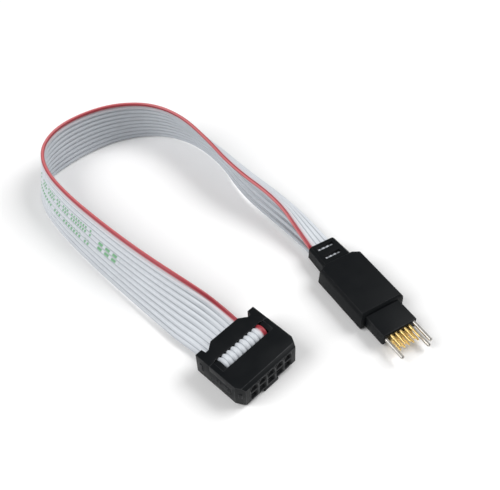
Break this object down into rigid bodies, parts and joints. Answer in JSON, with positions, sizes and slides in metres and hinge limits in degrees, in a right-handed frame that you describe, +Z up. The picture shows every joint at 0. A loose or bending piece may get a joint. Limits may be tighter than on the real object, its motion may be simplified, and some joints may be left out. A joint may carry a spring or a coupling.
{
  "type": "programming adapter cable",
  "caption": "Flat ribbon cable from an insulation-displacement socket to a moulded plug with spring contacts and alignment pins, for programming a board with no fitted header.",
  "frame": {"origin": "bottom centre of the plug's bounding box, midway between its tail and its pin tips", "axes": "+X the way the plug is pushed on to a board, +Z up from the surface it lies on, +Y towards the plug's left"},
  "size_m": [0.1036, 0.0582, 0.0128],
  "materials": {
    "black_overmould": "satin moulded",
    "black_plastic": "satin moulded",
    "grey_ribbon": "soft sheen, ribbed, one red edge wire",
    "gold_plate": "gold plated, bright",
    "steel_pin": "turned",
    "spring_steel": "drawn wire",
    "tinned_copper": "drawn wire",
    "solder": "smooth",
    "contact_metal": "rolled strip"
  },
  "bodies": {
    "plug": {"overmould": "black_overmould", "inner_mould": "black_plastic", "pin_carrier": "black_plastic", "ribbon_plug_end": "grey_ribbon", "wire_ends": "tinned_copper", "solder_joints": "solder", "alignment_pin_left": "steel_pin", "alignment_pin_right_upper": "steel_pin", "alignment_pin_right_lower": "steel_pin", "contact_barrel_01": "gold_plate", "contact_barrel_02": "gold_plate", "contact_barrel_03": "gold_plate", "contact_barrel_04": "gold_plate", "contact_barrel_05": "gold_plate", "contact_barrel_06": "gold_plate", "contact_barrel_07": "gold_plate", "contact_barrel_08": "gold_plate", "contact_barrel_09": "gold_plate", "contact_barrel_10": "gold_plate", "contact_spring_01": "spring_steel", "contact_spring_02": "spring_steel", "contact_spring_03": "spring_steel", "contact_spring_04": "spring_steel", "contact_spring_05": "spring_steel", "contact_spring_06": "spring_steel", "contact_spring_07": "spring_steel", "contact_spring_08": "spring_steel", "contact_spring_09": "spring_steel", "contact_spring_10": "spring_steel", "ribbon": "grey_ribbon", "socket_housing": "black_plastic", "socket_cover": "black_plastic", "socket_strain_relief": "black_plastic", "ribbon_socket_fold": "grey_ribbon", "socket_contact_01": "contact_metal", "socket_contact_02": "contact_metal", "socket_contact_03": "contact_metal", "socket_contact_04": "contact_metal", "socket_contact_05": "contact_metal", "socket_contact_06": "contact_metal", "socket_contact_07": "contact_metal", "socket_contact_08": "contact_metal", "socket_contact_09": "contact_metal", "socket_contact_10": "contact_metal"},
    "plunger_01": {"contact_plunger_01": "gold_plate"},
    "plunger_02": {"contact_plunger_02": "gold_plate"},
    "plunger_03": {"contact_plunger_03": "gold_plate"},
    "plunger_04": {"contact_plunger_04": "gold_plate"},
    "plunger_05": {"contact_plunger_05": "gold_plate"},
    "plunger_06": {"contact_plunger_06": "gold_plate"},
    "plunger_07": {"contact_plunger_07": "gold_plate"},
    "plunger_08": {"contact_plunger_08": "gold_plate"},
    "plunger_09": {"contact_plunger_09": "gold_plate"},
    "plunger_10": {"contact_plunger_10": "gold_plate"}
  },
  "joints": [
    {"name": "plunger_slide_01", "type": "slide", "parent": "plug", "child": "plunger_01", "axis": [-1, 0, 0], "range_m": [0, 0.0018], "stiffness_N_per_m": 600, "springref_m": -0.0006, "deforming": ["contact_spring_01"]},
    {"name": "plunger_slide_02", "type": "slide", "parent": "plug", "child": "plunger_02", "axis": [-1, 0, 0], "range_m": [0, 0.0018], "stiffness_N_per_m": 600, "springref_m": -0.0006, "deforming": ["contact_spring_02"]},
    {"name": "plunger_slide_03", "type": "slide", "parent": "plug", "child": "plunger_03", "axis": [-1, 0, 0], "range_m": [0, 0.0018], "stiffness_N_per_m": 600, "springref_m": -0.0006, "deforming": ["contact_spring_03"]},
    {"name": "plunger_slide_04", "type": "slide", "parent": "plug", "child": "plunger_04", "axis": [-1, 0, 0], "range_m": [0, 0.0018], "stiffness_N_per_m": 600, "springref_m": -0.0006, "deforming": ["contact_spring_04"]},
    {"name": "plunger_slide_05", "type": "slide", "parent": "plug", "child": "plunger_05", "axis": [-1, 0, 0], "range_m": [0, 0.0018], "stiffness_N_per_m": 600, "springref_m": -0.0006, "deforming": ["contact_spring_05"]},
    {"name": "plunger_slide_06", "type": "slide", "parent": "plug", "child": "plunger_06", "axis": [-1, 0, 0], "range_m": [0, 0.0018], "stiffness_N_per_m": 600, "springref_m": -0.0006, "deforming": ["contact_spring_06"]},
    {"name": "plunger_slide_07", "type": "slide", "parent": "plug", "child": "plunger_07", "axis": [-1, 0, 0], "range_m": [0, 0.0018], "stiffness_N_per_m": 600, "springref_m": -0.0006, "deforming": ["contact_spring_07"]},
    {"name": "plunger_slide_08", "type": "slide", "parent": "plug", "child": "plunger_08", "axis": [-1, 0, 0], "range_m": [0, 0.0018], "stiffness_N_per_m": 600, "springref_m": -0.0006, "deforming": ["contact_spring_08"]},
    {"name": "plunger_slide_09", "type": "slide", "parent": "plug", "child": "plunger_09", "axis": [-1, 0, 0], "range_m": [0, 0.0018], "stiffness_N_per_m": 600, "springref_m": -0.0006, "deforming": ["contact_spring_09"]},
    {"name": "plunger_slide_10", "type": "slide", "parent": "plug", "child": "plunger_10", "axis": [-1, 0, 0], "range_m": [0, 0.0018], "stiffness_N_per_m": 600, "springref_m": -0.0006, "deforming": ["contact_spring_10"]}
  ]
}
